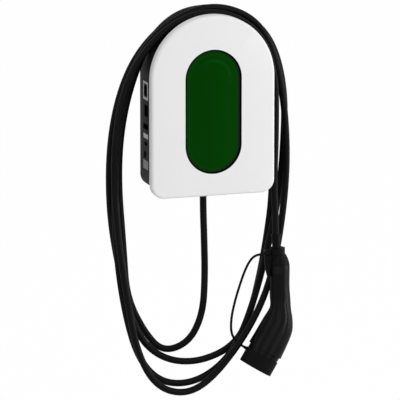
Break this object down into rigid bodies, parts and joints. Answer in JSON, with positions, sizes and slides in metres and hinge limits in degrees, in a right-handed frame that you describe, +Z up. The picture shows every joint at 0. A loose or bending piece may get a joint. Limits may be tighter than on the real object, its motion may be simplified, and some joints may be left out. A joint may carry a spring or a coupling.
{
  "type": "ev wallbox",
  "caption": "Wall-mounted vehicle charging station with an arched white cover, a dark oval window and a long tethered cable hung in loops round its rear housing.",
  "frame": {"origin": "centre of the four wall holes, on the back plane that lies on the wall", "axes": "+Z up, +Y from the front cover into the wall, +X to the right as seen from the front"},
  "size_m": [0.3619, 0.1097, 0.7572],
  "materials": {
    "housing_plastic": "satin moulded dark grey",
    "cover_plastic": "smooth satin white",
    "seal_rubber": "soft black",
    "bezel_plastic": "gloss black",
    "window_glass": "gloss dark green, smooth",
    "guide_plastic": "frosted white",
    "board": "solder-masked green",
    "light_emitter": "pale yellow lens",
    "screw_steel": "zinc plated",
    "terminal_plastic": "matt green",
    "relay_plastic": "matt black",
    "capacitor_aluminium": "sleeved can",
    "shield_steel": "tinned",
    "chip_plastic": "matt black",
    "gland_plastic": "matt black",
    "cable_rubber": "smooth satin black sheath",
    "core_plastic": "smooth insulation",
    "connector_rubber": "soft satin black",
    "connector_plastic": "satin moulded black",
    "contact_brass": "silver plated"
  },
  "bodies": {
    "station": {"rear_housing": "housing_plastic", "front_cover": "cover_plastic", "cover_gasket": "seal_rubber", "window_bezel": "bezel_plastic", "window_lens": "window_glass", "light_guide": "guide_plastic", "light_board": "board", "status_lights": "light_emitter", "card_reader": "board", "cover_screws": "screw_steel", "board_screws": "screw_steel", "power_board": "board", "control_board": "board", "supply_terminals": "terminal_plastic", "cable_terminals": "terminal_plastic", "charging_relays": "relay_plastic", "leakage_sensor": "relay_plastic", "supply_module": "relay_plastic", "capacitors": "capacitor_aluminium", "radio_module": "shield_steel", "board_chips": "chip_plastic", "gland_body": "gland_plastic", "gland_nut": "gland_plastic", "gland_locknut": "gland_plastic", "supply_grommet": "seal_rubber", "charging_cable": "cable_rubber", "cable_cores": "core_plastic", "cable_sleeve": "cable_rubber", "strap_collar": "connector_rubber", "cap_strap": "connector_rubber", "handle_front_shell": "connector_plastic", "handle_rear_shell": "connector_plastic", "handle_screws": "screw_steel", "nose_body": "connector_plastic", "contact_sleeves": "contact_brass"},
    "cap": {"protective_cap": "connector_rubber"}
  },
  "joints": [
    {"name": "cap_pull", "type": "slide", "parent": "station", "child": "cap", "axis": [-0.515, 0, -0.8572], "range_m": [0, 0.05], "deforming": ["cap_strap"]}
  ]
}
